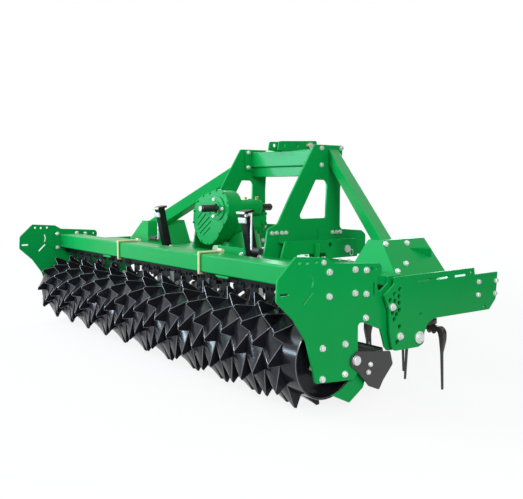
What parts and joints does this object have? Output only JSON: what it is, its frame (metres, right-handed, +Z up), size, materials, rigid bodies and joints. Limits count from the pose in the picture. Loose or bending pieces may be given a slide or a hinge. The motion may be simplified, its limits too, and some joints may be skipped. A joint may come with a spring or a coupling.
{
  "type": "power harrow",
  "caption": "Tractor-mounted power harrow with meshed tine rotors under a long trough, a central gearbox and three-point headstock, and a toothed packer roller on pivoting arms.",
  "frame": {"origin": "on the ground under the middle of the machine's overall box", "axes": "+X to the machine's right along the rotors and the roller, +Y forward to the tractor, +Z up"},
  "size_m": [3.156, 1.6954, 1.3265],
  "materials": {
    "paint_green": "gloss",
    "paint_black": "gloss",
    "zinc": "satin",
    "yellow_zinc": "satin",
    "steel_dark": "satin"
  },
  "bodies": {
    "frame": {"trough": "paint_green", "rear_rail": "paint_green", "end_plate_right": "paint_green", "end_plate_left": "paint_green", "front_cleats": "paint_green", "stop_pins": "zinc", "hub_pins": "zinc", "headstock_plate_right": "paint_green", "headstock_plate_left": "paint_green", "link_plates": "paint_green", "hitch_pins": "zinc", "cross_tube": "paint_green", "top_link_bracket": "paint_green", "strut_right": "paint_green", "strut_left": "paint_green", "strut_foot_right": "paint_green", "strut_foot_left": "paint_green", "gearbox_housing": "paint_green", "gearbox_cover": "paint_green", "jack_tubes": "paint_black"},
    "drive_shaft": {"pto_shaft": "steel_dark"},
    "levelling": {"jack_rods": "paint_black", "levelling_board": "paint_black"},
    "roller_frame": {"side_plate_right": "paint_green", "side_plate_left": "paint_green", "arm_doublers": "paint_green", "crossbeam": "paint_green", "u_bolts": "yellow_zinc", "scraper_bar": "paint_black", "scrapers": "paint_black", "bearings": "paint_black"},
    "packer": {"roller": "paint_black"},
    "deflector_right": {"deflector_bracket_right": "paint_black", "deflector_blade_right": "paint_green"},
    "deflector_left": {"deflector_bracket_left": "paint_black", "deflector_blade_left": "paint_green"},
    "rotor_01": {"rotor_head_01": "paint_black", "tines_01": "paint_black"},
    "rotor_02": {"rotor_head_02": "paint_black", "tines_02": "paint_black"},
    "rotor_03": {"rotor_head_03": "paint_black", "tines_03": "paint_black"},
    "rotor_04": {"rotor_head_04": "paint_black", "tines_04": "paint_black"},
    "rotor_05": {"rotor_head_05": "paint_black", "tines_05": "paint_black"},
    "rotor_06": {"rotor_head_06": "paint_black", "tines_06": "paint_black"},
    "rotor_07": {"rotor_head_07": "paint_black", "tines_07": "paint_black"},
    "rotor_08": {"rotor_head_08": "paint_black", "tines_08": "paint_black"},
    "rotor_09": {"rotor_head_09": "paint_black", "tines_09": "paint_black"},
    "rotor_10": {"rotor_head_10": "paint_black", "tines_10": "paint_black"},
    "rotor_11": {"rotor_head_11": "paint_black", "tines_11": "paint_black"},
    "rotor_12": {"rotor_head_12": "paint_black", "tines_12": "paint_black"}
  },
  "joints": [
    {"name": "roller_frame_pivot", "type": "hinge", "parent": "frame", "child": "roller_frame", "pos_m": [0, 0.012, 0.291], "axis": [1, 0, 0], "range_deg": [0, 8]},
    {"name": "packer_spin", "type": "hinge", "parent": "roller_frame", "child": "packer", "pos_m": [0, -0.521, 0.25], "axis": [1, 0, 0], "continuous": true},
    {"name": "deflector_right_swing", "type": "hinge", "parent": "roller_frame", "child": "deflector_right", "pos_m": [1.53, -0.393, 0.236], "axis": [1, 0, 0], "range_deg": [0, 15]},
    {"name": "deflector_left_swing", "type": "hinge", "parent": "roller_frame", "child": "deflector_left", "pos_m": [-1.53, -0.393, 0.236], "axis": [1, 0, 0], "range_deg": [0, 15]},
    {"name": "levelling_slide", "type": "slide", "parent": "frame", "child": "levelling", "axis": [0, -0.1977, 0.9803], "range_m": [-0.05, 0.1]},
    {"name": "rotor_01_spin", "type": "hinge", "parent": "frame", "child": "rotor_01", "pos_m": [-1.441, 0.198, 0.35], "axis": [0, 0, 1], "continuous": true},
    {"name": "rotor_02_spin", "type": "hinge", "parent": "frame", "child": "rotor_02", "pos_m": [-1.179, 0.198, 0.35], "axis": [0, 0, 1], "continuous": true},
    {"name": "rotor_03_spin", "type": "hinge", "parent": "frame", "child": "rotor_03", "pos_m": [-0.917, 0.198, 0.35], "axis": [0, 0, 1], "continuous": true},
    {"name": "rotor_04_spin", "type": "hinge", "parent": "frame", "child": "rotor_04", "pos_m": [-0.655, 0.198, 0.35], "axis": [0, 0, 1], "continuous": true},
    {"name": "rotor_05_spin", "type": "hinge", "parent": "frame", "child": "rotor_05", "pos_m": [-0.393, 0.198, 0.35], "axis": [0, 0, 1], "continuous": true},
    {"name": "rotor_06_spin", "type": "hinge", "parent": "frame", "child": "rotor_06", "pos_m": [-0.131, 0.198, 0.35], "axis": [0, 0, 1], "continuous": true},
    {"name": "rotor_07_spin", "type": "hinge", "parent": "frame", "child": "rotor_07", "pos_m": [0.131, 0.198, 0.35], "axis": [0, 0, 1], "continuous": true},
    {"name": "rotor_08_spin", "type": "hinge", "parent": "frame", "child": "rotor_08", "pos_m": [0.393, 0.198, 0.35], "axis": [0, 0, 1], "continuous": true},
    {"name": "rotor_09_spin", "type": "hinge", "parent": "frame", "child": "rotor_09", "pos_m": [0.655, 0.198, 0.35], "axis": [0, 0, 1], "continuous": true},
    {"name": "rotor_10_spin", "type": "hinge", "parent": "frame", "child": "rotor_10", "pos_m": [0.917, 0.198, 0.35], "axis": [0, 0, 1], "continuous": true},
    {"name": "rotor_11_spin", "type": "hinge", "parent": "frame", "child": "rotor_11", "pos_m": [1.179, 0.198, 0.35], "axis": [0, 0, 1], "continuous": true},
    {"name": "rotor_12_spin", "type": "hinge", "parent": "frame", "child": "rotor_12", "pos_m": [1.441, 0.198, 0.35], "axis": [0, 0, 1], "continuous": true},
    {"name": "drive_shaft_spin", "type": "hinge", "parent": "frame", "child": "drive_shaft", "pos_m": [0, 0.198, 0.873], "axis": [0, 1, 0], "continuous": true}
  ],
  "couplings": [
    {"joint": "rotor_01_spin", "follows": "rotor_06_spin", "ratio": -1},
    {"joint": "rotor_02_spin", "follows": "rotor_06_spin", "ratio": 1},
    {"joint": "rotor_03_spin", "follows": "rotor_06_spin", "ratio": -1},
    {"joint": "rotor_04_spin", "follows": "rotor_06_spin", "ratio": 1},
    {"joint": "rotor_05_spin", "follows": "rotor_06_spin", "ratio": -1},
    {"joint": "rotor_07_spin", "follows": "rotor_06_spin", "ratio": -1},
    {"joint": "rotor_08_spin", "follows": "rotor_06_spin", "ratio": 1},
    {"joint": "rotor_09_spin", "follows": "rotor_06_spin", "ratio": -1},
    {"joint": "rotor_10_spin", "follows": "rotor_06_spin", "ratio": 1},
    {"joint": "rotor_11_spin", "follows": "rotor_06_spin", "ratio": -1},
    {"joint": "rotor_12_spin", "follows": "rotor_06_spin", "ratio": 1},
    {"joint": "drive_shaft_spin", "follows": "rotor_06_spin", "ratio": 2.8}
  ]
}
